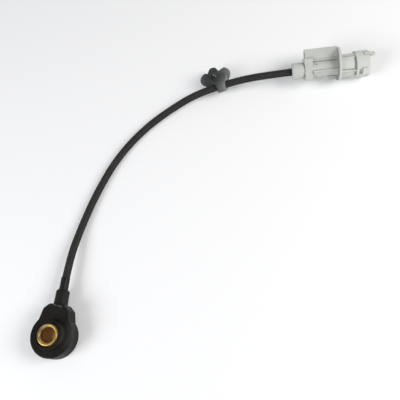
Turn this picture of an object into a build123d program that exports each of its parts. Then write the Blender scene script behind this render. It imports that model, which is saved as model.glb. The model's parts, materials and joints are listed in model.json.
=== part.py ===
"""Engine knock sensor with a flying lead.

A piezo ring is clamped between a flanged brass sleeve and a seismic mass, and the stack is
moulded into a round housing. A round cable runs to a sealed two-pole plug, and a panel clip
is moulded round it on the way.

Millimetres. The origin is on the bore axis at the contact face, +Z runs up the bore and +Y
along the neck that the cable leaves by. Everything stands on the plane z = 0.
"""

import os
from math import cos, pi, radians, sin, tan

from build123d import *

os.makedirs("parts", exist_ok=True)

# Clearances
mould_gap = 0.05
slide_gap = 0.1
touch_gap = 0.02

# Mounting sleeve, for an M8 screw
bore_r = 4.2
sleeve_r = 6.2
sleeve_top = 17.2
sleeve_mouth_chamfer = 1.1
sleeve_rim_chamfer = 0.3
contact_flange_r = 9.9
contact_flange_t = 2.0

# Sensing stack on the sleeve
tube_wall = 0.25
ring_bore_gap = 0.1
ring_r = 9.6
washer_t = 0.3
contact_t = 0.3
piezo_t = 2.6
mass_r = 10.0
mass_t = 4.2
mass_chamfer = 0.4
spring_r = 9.5
spring_t = 0.5
spring_rise = 0.5
nut_r = 7.7
nut_t = 2.2
nut_notch_w = 1.6
nut_notch_depth = 0.7

# Moulded housing
housing_r = 13.0
housing_base = 0.8
housing_top = 12.2
housing_top_round = 1.0
housing_base_chamfer = 0.5
hub_foot_r = 8.9
hub_top_r = 8.5
hub_top = 15.2
hub_round = 0.3
recess_r = 7.5
recess_depth = 0.6

# Cable exit block and neck
block_root_y = 4.0
block_root_half_w = 10.3
block_shoulder_y = 16.5
block_shoulder_half_w = 7.8
block_end_y = 20.0
block_end_half_w = 4.4
block_round = 0.5
block_end_chamfer = 1.0
neck_w = 7.6
neck_h = 7.4
neck_taper = 1.5
neck_edge = 1.5
neck_end_chamfer = 0.8
neck_end_y = 27.8
neck_bore_depth = 4.0

# Cable: chosen route of its centreline, sensor end first
cable_d = 4.8
cable_points = [
    (0.0, 24.2, 6.6),
    (0.0, 45.5, 6.6),
    (1.6, 66.5, 2.8),
    (8.1, 93.3, 2.4),
    (18.6, 120.2, 2.4),
    (35.2, 143.6, 2.4),
    (56.9, 161.5, 3.8),
    (72.0, 168.7, 7.2),
    (98.1, 176.9, 10.0),
    (122.6, 180.8, 11.08),
    (143.2, 184.2, 10.38),
]
clip_run = 7
arc_share = 0.45
core_d = 1.4
core_pitch = 2.4
core_bend_r = 1.6

# Short sleeve shrunk on the cable where it leaves the neck
relief_wall = 0.3
relief_length = 7.6

# Soldered joints of the cores on the contact discs
tab_w = 2.2
tab_pitch = 4.4
tab_end_y = 17.2
core_end_y = 13.6
core_spread_y = 18.6

# Panel clip moulded round the cable
clip_roll = 12.0
band_wall = 1.7
band_root_w = 11.2
band_tip_w = 4.8
band_shift = 0.6
stem_h = 7.4
stem_round = 1.0
wing_half_length = 10.0
wing_half_height = 6.05
wing_lift = 1.15
wing_top_corner = 2.5
wing_shift = -1.6
wing_bow_r = 14.0
wing_bow_arc = 112.0
wing_t = 1.2
wing_offset = 5.6
stud_shift = -2.5
stud_shaft_w = 2.2
stud_t = 6.0
stud_tip = 16.5
barb_half_w = 3.8
barb_root = 11.2
barb_gap = 0.8
barb_t = 1.0

# Plug, measured along its axis from the rear end of the cap
plug_cable_depth = 11.0
cap_r = 5.4
cap_length = 8.3
cap_neck_r = 4.7
cap_neck_length = 1.6
cap_round = 1.2
seal_r = 4.1
seal_start = 4.0
seal_end = 11.0
seal_rib = 0.35
seal_rib_count = 3
collar_end = 13.5
collar_top = 7.8
collar_bottom = 6.5
collar_half_w = 5.2
collar_round = 1.8
rail_start = 9.0
rail_top = 13.2
rail_bottom = 5.3
rail_half_w = 3.2
rail_slot_w = 3.2
rail_slot_h = 4.2
rail_lip_h = 0.8
rail_lip_reach = 0.9
barrel_r = 5.5
barrel_rib_w = 1.1
barrel_rib_h = 1.0
barrel_rib_angles = (104.0, -104.0)
pocket_start = 14.0
pocket_angle = 58.0
pocket_length = 2.4
pocket_w = 1.2
pocket_depth = 0.9
boss_start = 23.3
boss_length = 4.4
boss_half_w = 1.6
boss_reach = 8.0
flange_start = 29.6
flange_t = 1.6
flange_top = 12.4
flange_bottom = 8.75
flange_half_w = 10.0
flange_corner = 9.0
shroud_start = 40.8
shroud_r = 8.5
shroud_edge = 0.4
shroud_wall = 1.2
shroud_step = 1.0
barrel_front_r = shroud_r - shroud_step
front_rib_angles = (37.0, 115.0, -37.0, -115.0)
groove_start = 39.6
groove_w = 1.5
groove_depth = 1.9
groove_r = shroud_r - groove_depth
groove_arcs = ((52.0, 56.0), (124.0, 22.0))
plug_length = 49.5
mouth_r = shroud_r - shroud_wall
mouth_depth = 7.0
mouth_step = 1.2
socket_r = mouth_r - mouth_step
socket_floor = 36.0
key_angles = (0.0, 150.0, 210.0)
key_w = 1.6
key_h = 0.9
key_inset = 0.8
wedge_start = 44.6
wedge_length = 4.0
wedge_w = 4.6
wedge_rise = 0.7
wedge_root_r = barrel_front_r
wedge_angle = 124.0
hollow_length = 2.0
hollow_w = 3.4
hollow_depth = 0.8
hollow_floor_r = shroud_r - hollow_depth
peg_angle = 44.0
peg_w = 2.6
peg_t = 1.5
peg_reach = 3.4
chamber_end = 25.0

# Terminals in the plug
terminal_pitch = 5.0
terminal_body_w = 2.2
terminal_body_h = 1.6
crimp_r = 1.1
crimp_length = 3.2
blade_w = 1.5
blade_t = 0.64
blade_reach = 9.0
blade_bevel = 0.2
lock_t = 1.6

# Heights in the stack
z_lower_washer = contact_flange_t
z_lower_contact = z_lower_washer + washer_t
z_piezo = z_lower_contact + contact_t
z_upper_contact = z_piezo + piezo_t
z_upper_washer = z_upper_contact + contact_t
z_mass = z_upper_washer + washer_t
z_spring = z_mass + mass_t
z_nut = z_spring + spring_t + spring_rise
z_nut_top = z_nut + nut_t

tube_inner_r = sleeve_r + mould_gap
tube_outer_r = tube_inner_r + tube_wall
ring_bore_r = tube_outer_r + ring_bore_gap
cable_r = cable_d / 2
core_r = core_d / 2
route = [Vector(*point) for point in cable_points]
neck_z = route[0].Z
neck_plane = Plane(origin=(0, block_shoulder_y, neck_z), x_dir=(1, 0, 0), z_dir=(0, 1, 0))
neck_face = Plane(origin=(0, neck_end_y, neck_z), x_dir=(1, 0, 0), z_dir=(0, 1, 0))


def corner_radii(points):
    """Arc radius at each inner corner of the cable's route."""
    radii = []
    for before, corner, after in zip(points, points[1:], points[2:]):
        run_in = corner - before
        run_out = after - corner
        turn = radians(run_in.get_angle(run_out))
        radii.append(arc_share * min(run_in.length, run_out.length) / tan(turn / 2))
    return radii


def wire_path(points, bend_radii):
    """Straight runs joined by arcs, through the given points."""
    with BuildLine() as path:
        FilletPolyline(*points, radius=bend_radii)
    return path.wires()[0]


def tube_along(path, radius):
    """Round solid of one radius along a wire."""
    start = Plane(origin=path @ 0, z_dir=path % 0)
    with BuildPart() as tube:
        with BuildSketch(start):
            Circle(radius)
        sweep(path=path)
    return tube.part


def ring(inner_r, outer_r, base_z, height):
    """Flat ring round the bore axis."""
    with BuildPart() as flat:
        with BuildSketch(Plane.XY.offset(base_z)):
            Circle(outer_r)
            Circle(inner_r, mode=Mode.SUBTRACT)
        extrude(amount=height)
    return flat.part


# Brass sleeve: tube with a contact flange, turned in one piece
with BuildPart() as brass_sleeve:
    with BuildSketch(Plane.XZ):
        with BuildLine():
            Polyline(
                (bore_r, 0),
                (contact_flange_r, 0),
                (contact_flange_r, contact_flange_t),
                (sleeve_r, contact_flange_t),
                (sleeve_r, sleeve_top - sleeve_rim_chamfer),
                (sleeve_r - sleeve_rim_chamfer, sleeve_top),
                (bore_r + sleeve_mouth_chamfer, sleeve_top),
                (bore_r, sleeve_top - sleeve_mouth_chamfer),
                close=True,
            )
        make_face()
    revolve(axis=Axis.Z)
brass_sleeve.part.label = "brass_sleeve"
export_step(brass_sleeve.part, "parts/brass_sleeve.step")

# Insulating tube between the sleeve and the stack
with BuildPart() as insulating_tube:
    add(ring(tube_inner_r, tube_outer_r, z_lower_washer, z_spring - z_lower_washer))
insulating_tube.part.label = "insulating_tube"
export_step(insulating_tube.part, "parts/insulating_tube.step")

# Insulating washers under and over the two contact discs
with BuildPart() as lower_insulating_washer:
    add(ring(ring_bore_r, ring_r, z_lower_washer, washer_t))
lower_insulating_washer.part.label = "lower_insulating_washer"
export_step(lower_insulating_washer.part, "parts/lower_insulating_washer.step")

with BuildPart() as upper_insulating_washer:
    add(ring(ring_bore_r, ring_r, z_upper_washer, washer_t))
upper_insulating_washer.part.label = "upper_insulating_washer"
export_step(upper_insulating_washer.part, "parts/upper_insulating_washer.step")

# Contact discs: thin rings, each with a soldering tab towards the cable
contact_places = {
    "lower_contact_disc": (z_lower_contact, -tab_pitch / 2),
    "upper_contact_disc": (z_upper_contact, tab_pitch / 2),
}
for name, (disc_z, tab_x) in contact_places.items():
    with BuildPart() as contact_disc:
        with BuildSketch(Plane.XY.offset(disc_z)):
            Circle(ring_r)
            with Locations((tab_x, tab_end_y / 2)):
                Rectangle(tab_w, tab_end_y)
            Circle(ring_bore_r, mode=Mode.SUBTRACT)
        extrude(amount=contact_t)
    contact_disc.part.label = name
    export_step(contact_disc.part, f"parts/{name}.step")

# Piezo ring
with BuildPart() as piezo_ring:
    add(ring(ring_bore_r, ring_r, z_piezo, piezo_t))
piezo_ring.part.label = "piezo_ring"
export_step(piezo_ring.part, "parts/piezo_ring.step")

# Seismic mass
with BuildPart() as seismic_mass:
    add(ring(ring_bore_r, mass_r, z_mass, mass_t))
    chamfer(seismic_mass.edges().filter_by(GeomType.CIRCLE).group_by(SortBy.RADIUS)[-1], mass_chamfer)
seismic_mass.part.label = "seismic_mass"
export_step(seismic_mass.part, "parts/seismic_mass.step")

# Disc spring: a coned washer, its outer rim on the mass and its inner rim under the nut
with BuildPart() as disc_spring:
    with BuildSketch(Plane.XZ):
        with BuildLine():
            Polyline(
                (ring_bore_r, z_spring + spring_rise),
                (spring_r, z_spring),
                (spring_r, z_spring + spring_t),
                (ring_bore_r, z_nut),
                close=True,
            )
        make_face()
    revolve(axis=Axis.Z)
disc_spring.part.label = "disc_spring"
export_step(disc_spring.part, "parts/disc_spring.step")

# Retaining nut with four spanner notches
with BuildPart() as retaining_nut:
    add(ring(sleeve_r + mould_gap, nut_r, z_nut, nut_t))
    with BuildSketch(Plane.XY.offset(z_nut_top)):
        with PolarLocations(nut_r, 4):
            Rectangle(2 * nut_notch_depth, nut_notch_w)
    extrude(amount=-nut_t / 2, mode=Mode.SUBTRACT)
retaining_nut.part.label = "retaining_nut"
export_step(retaining_nut.part, "parts/retaining_nut.step")

# Cable: plain tube along straight runs and tangent arcs
cable_radii = corner_radii(route)
cable_path = wire_path(route, cable_radii)
print("cable arc radii:", [round(radius) for radius in cable_radii])
print("cable length:", round(cable_path.length, 1))

with BuildPart() as cable:
    add(tube_along(cable_path, cable_r))
cable.part.label = "cable"
export_step(cable.part, "parts/cable.step")
tube_volume = pi * cable_r**2 * cable_path.length
print("cable volume against section times length:", round(cable.part.volume / tube_volume, 6))

# Bared cores at the sensor end, from the cable's end to the tabs
sensor_core_paths = {}
for name, side, disc_z in (("sensor_core_a", -1, z_lower_contact), ("sensor_core_b", 1, z_upper_contact)):
    rest_z = disc_z + contact_t + core_r + touch_gap
    core_points = [
        Vector(side * core_pitch / 2, route[0].Y, neck_z),
        Vector(side * core_pitch / 2, route[0].Y - core_bend_r, neck_z),
        Vector(side * tab_pitch / 2, core_spread_y, rest_z),
        Vector(side * tab_pitch / 2, core_end_y, rest_z),
    ]
    sensor_core_paths[name] = wire_path(core_points, [core_bend_r, core_bend_r])
    with BuildPart() as sensor_core:
        add(tube_along(sensor_core_paths[name], core_r))
    sensor_core.part.label = name
    export_step(sensor_core.part, f"parts/{name}.step")

# Housing: round body, raised hub, exit block and neck, moulded over the stack in one piece
with BuildPart() as exit_block:
    with BuildSketch(Plane.XY.offset(housing_base)):
        with BuildLine():
            Polyline(
                (-block_root_half_w, block_root_y),
                (block_root_half_w, block_root_y),
                (block_shoulder_half_w, block_shoulder_y),
                (block_end_half_w, block_end_y),
                (-block_end_half_w, block_end_y),
                (-block_shoulder_half_w, block_shoulder_y),
                close=True,
            )
        make_face()
    extrude(amount=housing_top - housing_base)
    fillet(exit_block.edges().filter_by(Axis.Z).group_by(Axis.Y)[1], block_round)
    chamfer(exit_block.faces().sort_by(Axis.Y)[-1].edges().sort_by(Axis.Z)[-1], block_end_chamfer)

with BuildPart() as sensor_housing:
    with BuildSketch(Plane.XY.offset(housing_base)):
        Circle(housing_r)
    extrude(amount=housing_top - housing_base)
    fillet(sensor_housing.faces().sort_by(Axis.Z)[-1].edges(), housing_top_round)
    chamfer(sensor_housing.faces().sort_by(Axis.Z)[0].edges(), housing_base_chamfer)
    add(exit_block.part)
    with BuildSketch(Plane.XZ):
        with BuildLine():
            Polyline(
                (sleeve_r - tube_wall, housing_top - housing_top_round),
                (hub_foot_r, housing_top - housing_top_round),
                (hub_top_r, hub_top),
                (recess_r, hub_top),
                (recess_r, hub_top - recess_depth),
                (sleeve_r - tube_wall, hub_top - recess_depth),
                close=True,
            )
        make_face()
    revolve(axis=Axis.Z)
    fillet(sensor_housing.faces().sort_by(Axis.Z)[-1].edges(), hub_round)
    with BuildSketch(neck_plane):
        Rectangle(neck_w, neck_h)
        chamfer(vertices(), neck_edge)
    extrude(amount=neck_end_y - block_shoulder_y, taper=neck_taper)
    chamfer(sensor_housing.faces().sort_by(Axis.Y)[-1].edges(), neck_end_chamfer)
    with BuildSketch(neck_face):
        Circle(cable_r + mould_gap)
    extrude(amount=-neck_bore_depth, mode=Mode.SUBTRACT)
    with BuildSketch(Plane.XZ):
        with BuildLine():
            Polyline(
                (0, 0),
                (contact_flange_r + mould_gap, 0),
                (contact_flange_r + mould_gap, z_lower_washer),
                (mass_r + mould_gap, z_lower_washer),
                (mass_r + mould_gap, z_spring),
                (spring_r + mould_gap, z_spring),
                (spring_r + mould_gap, z_nut),
                (nut_r + mould_gap, z_nut),
                (nut_r + mould_gap, z_nut_top),
                (sleeve_r + mould_gap, z_nut_top),
                (sleeve_r + mould_gap, sleeve_top),
                (0, sleeve_top),
                close=True,
            )
        make_face()
    revolve(axis=Axis.Z, mode=Mode.SUBTRACT)
    for disc_z, tab_x in contact_places.values():
        with BuildSketch(Plane.XY.offset(disc_z - mould_gap)):
            with Locations((tab_x, tab_end_y / 2)):
                Rectangle(tab_w + 2 * mould_gap, tab_end_y + 2 * mould_gap)
        extrude(amount=contact_t + 2 * mould_gap, mode=Mode.SUBTRACT)
    for core_path in sensor_core_paths.values():
        add(tube_along(core_path, core_r + mould_gap), mode=Mode.SUBTRACT)
sensor_housing.part.label = "sensor_housing"
export_step(sensor_housing.part, "parts/sensor_housing.step")

# Short sleeve on the cable, tight against the neck
with BuildPart() as cable_sleeve:
    with BuildSketch(neck_face):
        Circle(cable_r + mould_gap + relief_wall)
        Circle(cable_r + mould_gap, mode=Mode.SUBTRACT)
    extrude(amount=relief_length)
cable_sleeve.part.label = "cable_sleeve"
export_step(cable_sleeve.part, "parts/cable_sleeve.step")

# Panel clip: band round the cable, tapered stem, bowed wing and barbed stud, moulded in one piece
clip_along = (route[clip_run + 1] - route[clip_run]).normalized()
clip_centre = (route[clip_run] + route[clip_run + 1]) * 0.5
clip_level = Vector(-clip_along.Y, clip_along.X, 0).normalized()
clip_upright = clip_along.cross(clip_level)
clip_out = clip_level * cos(radians(clip_roll)) - clip_upright * sin(radians(clip_roll))
clip_up = clip_along.cross(clip_out)
band_r = cable_r + slide_gap + band_wall
clip_section = Plane(origin=clip_centre, x_dir=clip_out, z_dir=clip_along)
clip_plan = Plane(origin=clip_centre, x_dir=clip_along, z_dir=clip_up)
clip_face = Plane(origin=clip_centre, x_dir=clip_along, z_dir=clip_out)

with BuildPart() as clip_band:
    with BuildSketch(clip_section):
        Circle(band_r)
        with Locations((wing_offset / 2, 0)):
            RectangleRounded(wing_offset + wing_t, stem_h, stem_round)
    extrude(amount=band_root_w, both=True)
    with BuildSketch(clip_plan):
        with BuildLine():
            Polyline(
                (band_shift - band_tip_w / 2, -band_r),
                (band_shift + band_tip_w / 2, -band_r),
                (band_shift + band_root_w / 2, wing_offset + wing_t),
                (band_shift - band_root_w / 2, wing_offset + wing_t),
                close=True,
            )
        make_face()
    extrude(amount=band_r, both=True, mode=Mode.INTERSECT)

with BuildPart() as clip_wing:
    with BuildSketch(clip_plan):
        with BuildLine():
            bow_centre = (wing_shift, wing_offset + wing_bow_r)
            bow_start = 270 - wing_bow_arc / 2
            outer_bow = CenterArc(bow_centre, wing_bow_r, bow_start, wing_bow_arc)
            inner_bow = CenterArc(bow_centre, wing_bow_r - wing_t, bow_start, wing_bow_arc)
            Line(outer_bow @ 0, inner_bow @ 0)
            Line(outer_bow @ 1, inner_bow @ 1)
        make_face()
    extrude(amount=wing_half_height + wing_lift, both=True)
    with BuildSketch(clip_face) as clip_wing_outline:
        with Locations((wing_shift, -wing_lift)):
            Rectangle(2 * wing_half_length, 2 * wing_half_height)
        fillet(clip_wing_outline.vertices().group_by(Axis.Y)[0], wing_top_corner)
    extrude(amount=stud_tip, mode=Mode.INTERSECT)

with BuildPart() as clip_stud:
    with BuildSketch(clip_plan.shift_origin(clip_plan.from_local_coords((stud_shift, 0, 0)))):
        with BuildLine():
            Polyline(
                (-stud_shaft_w / 2, wing_offset),
                (stud_shaft_w / 2, wing_offset),
                (stud_shaft_w / 2, stud_tip - barb_t),
                (0, stud_tip),
                (-stud_shaft_w / 2, stud_tip - barb_t),
                close=True,
            )
        make_face()
        with BuildLine():
            Polyline(
                (stud_shaft_w / 2 - barb_gap, stud_tip - barb_t),
                (0, stud_tip),
                (barb_half_w, barb_root),
                (barb_half_w - barb_t, barb_root - barb_t / 2),
                close=True,
            )
        make_face()
        mirror(about=Plane.YZ)
    extrude(amount=stud_t / 2, both=True)

with BuildPart() as cable_clip:
    add(clip_band.part)
    add(clip_wing.part)
    add(clip_stud.part)
    with BuildSketch(clip_section):
        Circle(cable_r + slide_gap)
    extrude(amount=band_root_w, both=True, mode=Mode.SUBTRACT)
cable_clip.part.label = "cable_clip"
export_step(cable_clip.part, "parts/cable_clip.step")

# Frame of the plug: z along its axis from the cap's rear end, x up through the rail
plug_along = (route[-1] - route[-2]).normalized()
plug_origin = route[-1] - plug_along * plug_cable_depth
plug_roll = 34.3
plug_level = Vector(-plug_along.Y, plug_along.X, 0).normalized()
plug_upright = plug_along.cross(plug_level)
plug_dorsal = plug_level * cos(radians(plug_roll)) + plug_upright * sin(radians(plug_roll))
plug = Plane(origin=plug_origin, x_dir=plug_dorsal, z_dir=plug_along)
plug_side = plug.y_dir
plug_axis = Axis(plug_origin, plug_along)
plug_profile = Plane(origin=plug_origin, x_dir=plug_along, z_dir=plug_side)


def radial_plane(angle):
    """Plane through the plug's axis: x along the axis, y outwards at the angle from the rail."""
    outward = plug_dorsal * cos(radians(angle)) + plug_side * sin(radians(angle))
    return Plane(origin=plug_origin, x_dir=plug_along, z_dir=plug_along.cross(outward))


# Seal round the cable at the plug's rear, with grip ribs
with BuildPart() as cable_seal:
    with BuildSketch(plug.offset(seal_start)):
        Circle(seal_r - seal_rib)
    extrude(amount=seal_end - seal_start)
    rib_pitch = (seal_end - seal_start) / seal_rib_count
    for rib in range(seal_rib_count):
        with BuildSketch(plug.offset(seal_start + (rib + 0.25) * rib_pitch)):
            Circle(seal_r)
        extrude(amount=rib_pitch / 2)
    with BuildSketch(plug.offset(seal_start)):
        Circle(cable_r + mould_gap)
    extrude(amount=seal_end - seal_start, mode=Mode.SUBTRACT)
cable_seal.part.label = "cable_seal"
export_step(cable_seal.part, "parts/cable_seal.step")

# Rear cap that holds the seal in
with BuildPart() as rear_cap:
    with BuildSketch(plug_profile):
        with BuildLine():
            cap_round_arc = CenterArc((cap_round, cap_r - cap_round), cap_round, 90, 90)
            Polyline(
                cap_round_arc @ 0,
                (cap_length - cap_neck_length, cap_r),
                (cap_length, cap_neck_r),
                (cap_length, seal_r + mould_gap),
                (seal_start, seal_r + mould_gap),
                (seal_start, cable_r + slide_gap),
                (0, cable_r + slide_gap),
                cap_round_arc @ 1,
            )
        make_face()
    revolve(axis=plug_axis)
rear_cap.part.label = "rear_cap"
export_step(rear_cap.part, "parts/rear_cap.step")

# Plug housing: collar, rail, ribbed barrel, flange, front barrel and shroud, moulded in one piece
with BuildPart() as plug_housing:
    with BuildSketch(plug.offset(cap_length)):
        with Locations(((collar_top - collar_bottom) / 2, 0)):
            RectangleRounded(collar_top + collar_bottom, 2 * collar_half_w, collar_round)
    extrude(amount=collar_end - cap_length)
    with BuildSketch(plug.offset(cap_length)):
        Circle(barrel_r)
    extrude(amount=flange_start - cap_length)
    with BuildSketch(plug.offset(rail_start)):
        with Locations(((rail_top + rail_bottom) / 2, 0)):
            Rectangle(rail_top - rail_bottom, 2 * rail_half_w)
            Rectangle(rail_slot_h, rail_slot_w, mode=Mode.SUBTRACT)
        with Locations((rail_bottom - rail_half_w / 2, 0)):
            Rectangle(rail_half_w, 2 * rail_half_w)
        with Locations((rail_bottom + rail_lip_h / 2, 0)):
            Rectangle(rail_lip_h, 2 * (rail_half_w + rail_lip_reach))
    extrude(amount=flange_start - rail_start)
    with BuildSketch(plug.offset(boss_start)):
        with Locations((-boss_reach / 2, 0)):
            RectangleRounded(boss_reach, 2 * boss_half_w, boss_half_w / 2)
    extrude(amount=boss_length)
    with BuildSketch(plug.offset(flange_start)):
        with Locations(((flange_top - flange_bottom) / 2, 0)):
            RectangleRounded(flange_top + flange_bottom, 2 * flange_half_w, flange_corner)
    extrude(amount=flange_t)
    with BuildSketch(plug.offset(flange_start)):
        Circle(barrel_front_r)
    extrude(amount=plug_length - flange_start)
    with BuildSketch(plug.offset(shroud_start)):
        Circle(shroud_r)
    extrude(amount=plug_length - shroud_start)
    chamfer(plug_housing.faces().sort_by(plug_axis)[-1].edges(), shroud_edge)
    for start, end, base_r, angles in (
        (collar_end, flange_start, barrel_r, barrel_rib_angles),
        (flange_start + flange_t, shroud_start, barrel_front_r, front_rib_angles),
    ):
        for angle in angles:
            with BuildSketch(radial_plane(angle)):
                with Locations(((start + end) / 2, base_r)):
                    Rectangle(end - start, 2 * barrel_rib_h)
            extrude(amount=barrel_rib_w / 2, both=True)
    for angle in (wedge_angle, -wedge_angle):
        with BuildSketch(radial_plane(angle)):
            with BuildLine():
                Polyline(
                    (wedge_start, shroud_r + wedge_rise),
                    (wedge_start + wedge_length, shroud_r - wedge_rise),
                    (wedge_start + wedge_length, wedge_root_r),
                    (wedge_start, wedge_root_r),
                    close=True,
                )
            make_face()
        extrude(amount=wedge_w / 2, both=True)
        with BuildSketch(radial_plane(angle)):
            with Locations((wedge_start - hollow_length / 2, shroud_r)):
                Rectangle(hollow_length, 2 * (shroud_r - hollow_floor_r))
        extrude(amount=hollow_w / 2, both=True, mode=Mode.SUBTRACT)
    with BuildSketch(radial_plane(peg_angle)):
        with Locations((plug_length, (mouth_r + shroud_r) / 2)):
            Rectangle(2 * peg_reach, peg_t)
    extrude(amount=peg_w / 2, both=True)
    for start_angle, sweep_angle in groove_arcs:
        for side in (1, -1):
            first = start_angle if side > 0 else -start_angle - sweep_angle
            with BuildSketch(radial_plane(first)):
                with Locations((groove_start + groove_w / 2, (groove_r + shroud_r + 1) / 2)):
                    Rectangle(groove_w, shroud_r + 1 - groove_r)
            revolve(axis=plug_axis, revolution_arc=sweep_angle, mode=Mode.SUBTRACT)
    with BuildSketch(radial_plane(pocket_angle)):
        with Locations((pocket_start + pocket_length / 2, barrel_r)):
            Rectangle(pocket_length, 2 * pocket_depth)
    extrude(amount=pocket_w / 2, both=True, mode=Mode.SUBTRACT)
    with BuildSketch(plug.offset(cap_length)):
        Circle(seal_r + mould_gap)
    extrude(amount=chamber_end - cap_length, mode=Mode.SUBTRACT)
    with BuildSketch(plug.offset(chamber_end)):
        with GridLocations(1, terminal_pitch, 1, 2):
            Rectangle(terminal_body_h + 2 * mould_gap, terminal_body_w + 2 * mould_gap)
    extrude(amount=socket_floor - chamber_end, mode=Mode.SUBTRACT)
    with BuildSketch(plug.offset(socket_floor)):
        Circle(socket_r)
    extrude(amount=plug_length - socket_floor, mode=Mode.SUBTRACT)
    with BuildSketch(plug.offset(plug_length - mouth_depth)):
        Circle(mouth_r)
    extrude(amount=mouth_depth, mode=Mode.SUBTRACT)
    for angle in key_angles:
        with BuildSketch(radial_plane(angle)):
            with Locations((plug_length - (mouth_depth + key_inset) / 2, mouth_r)):
                Rectangle(mouth_depth - key_inset, 2 * key_h)
        extrude(amount=key_w / 2, both=True)
plug_housing.part.label = "plug_housing"
export_step(plug_housing.part, "parts/plug_housing.step")

# Lock plate on the socket floor, with a slot for each blade
with BuildPart() as terminal_lock:
    with BuildSketch(plug.offset(socket_floor)):
        Circle(socket_r - slide_gap)
        with GridLocations(1, terminal_pitch, 1, 2):
            Rectangle(blade_t + 2 * slide_gap, blade_w + 2 * slide_gap, mode=Mode.SUBTRACT)
    extrude(amount=lock_t)
terminal_lock.part.label = "terminal_lock"
export_step(terminal_lock.part, "parts/terminal_lock.step")

# Terminals and the bared cores crimped into them
for name, core_name, side in (("terminal_a", "plug_core_a", -1), ("terminal_b", "plug_core_b", 1)):
    offset = side * terminal_pitch / 2
    crimp_start = chamber_end - crimp_length
    with BuildPart() as terminal:
        with BuildSketch(plug.offset(crimp_start)):
            with Locations((0, offset)):
                Circle(crimp_r)
                Circle(core_r + touch_gap, mode=Mode.SUBTRACT)
        extrude(amount=crimp_length)
        with BuildSketch(plug.offset(chamber_end)):
            with Locations((0, offset)):
                Rectangle(terminal_body_h, terminal_body_w)
        extrude(amount=socket_floor - chamber_end)
        with BuildSketch(plug.offset(socket_floor)):
            with Locations((0, offset)):
                Rectangle(blade_t, blade_w)
        extrude(amount=blade_reach)
        chamfer(terminal.faces().sort_by(plug_axis)[-1].edges(), blade_bevel)
    terminal.part.label = name
    export_step(terminal.part, f"parts/{name}.step")

    core_points = [
        plug.from_local_coords((0, side * core_pitch / 2, plug_cable_depth)),
        plug.from_local_coords((0, side * core_pitch / 2, plug_cable_depth + core_bend_r)),
        plug.from_local_coords((0, offset, crimp_start - core_bend_r)),
        plug.from_local_coords((0, offset, chamber_end)),
    ]
    core_path = wire_path([Vector(*point) for point in core_points], [core_bend_r, core_bend_r])
    with BuildPart() as plug_core:
        add(tube_along(core_path, core_r))
    plug_core.part.label = core_name
    export_step(plug_core.part, f"parts/{core_name}.step")
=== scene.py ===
# %% [markdown]
# # Engine knock sensor with a flying lead
#
# The solids of this part have their real sizes: sleeve, sensing stack, housing, cable, clip, plug.
# This script gives them their looks. It loads them as a fixed frame, lays the cable as a smooth
# line, softens the edges of the mouldings and writes one material for each finish.
# Lengths are in metres. The bore's centre is the origin, +Z runs up the bore, and +Y along the
# neck that the cable leaves by.

import json
from math import asin, atan2, cos, degrees, hypot, pi, radians, sin

import bmesh
import bpy
from mathutils import Matrix, Vector

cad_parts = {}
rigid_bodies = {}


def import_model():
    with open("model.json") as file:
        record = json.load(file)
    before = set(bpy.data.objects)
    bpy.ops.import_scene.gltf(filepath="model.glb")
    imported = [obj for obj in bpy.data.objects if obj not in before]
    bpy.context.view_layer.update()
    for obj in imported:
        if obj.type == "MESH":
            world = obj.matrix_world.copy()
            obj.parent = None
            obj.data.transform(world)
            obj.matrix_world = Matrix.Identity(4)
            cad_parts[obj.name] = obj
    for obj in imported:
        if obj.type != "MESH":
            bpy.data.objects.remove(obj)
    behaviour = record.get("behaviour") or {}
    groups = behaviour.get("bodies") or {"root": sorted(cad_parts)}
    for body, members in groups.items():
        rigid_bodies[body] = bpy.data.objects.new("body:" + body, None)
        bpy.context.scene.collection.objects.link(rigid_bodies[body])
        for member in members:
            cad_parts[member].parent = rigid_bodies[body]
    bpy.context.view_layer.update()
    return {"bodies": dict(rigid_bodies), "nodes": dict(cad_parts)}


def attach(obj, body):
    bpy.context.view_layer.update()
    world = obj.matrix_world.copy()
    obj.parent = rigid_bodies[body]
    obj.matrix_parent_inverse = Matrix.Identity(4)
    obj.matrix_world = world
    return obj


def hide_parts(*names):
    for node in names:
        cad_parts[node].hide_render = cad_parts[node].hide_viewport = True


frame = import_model()
mm = 0.001
root = next(iter(frame["bodies"]))

# %% [markdown]
# ## Camera
#
# The part was photographed from above with a short lens, so the near plug looks a little turned
# against the sensor. The camera stands where the sleeve's rim, the bore and the plug's ends fall
# on the same places of the picture. Its turn is given by the directions that are right and up in
# the picture, which is easier to correct by eye than three angles.

# %% Camera
picture_width = 400
focal_pixels = 492.0
sensor_width = 36.0
camera_place = Vector((133.4, -12.9, 294.0)) * mm
picture_right = Vector((0.9836, 0.1007, -0.1496)).normalized()
picture_up = Vector((-0.0434, 0.9373, 0.3457))
picture_back = picture_right.cross(picture_up).normalized()
picture_up = picture_back.cross(picture_right)

camera_data = bpy.data.cameras.new("camera")
camera_data.sensor_width = sensor_width
camera_data.lens = focal_pixels / picture_width * sensor_width
camera_data.clip_start = 0.01
camera_data.clip_end = 20.0
camera = bpy.data.objects.new("camera", camera_data)
camera_turn = Matrix((picture_right, picture_up, picture_back)).transposed().to_4x4()
camera.matrix_world = Matrix.Translation(camera_place) @ camera_turn
bpy.context.scene.collection.objects.link(camera)
bpy.context.scene.camera = camera
bpy.context.scene.view_settings.view_transform = "Standard"
print("lens:", round(camera_data.lens, 1), "mm")

# %% [markdown]
# ## Cable
#
# The lead is a round two-core cable with a rubber jacket. It leaves the neck level, drops to the
# table, lies there in one wide bend and climbs to the clip and the plug, which both lift it.
# A cable bends smoothly, so its line is a curve that only leans on a few chosen points.

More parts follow.
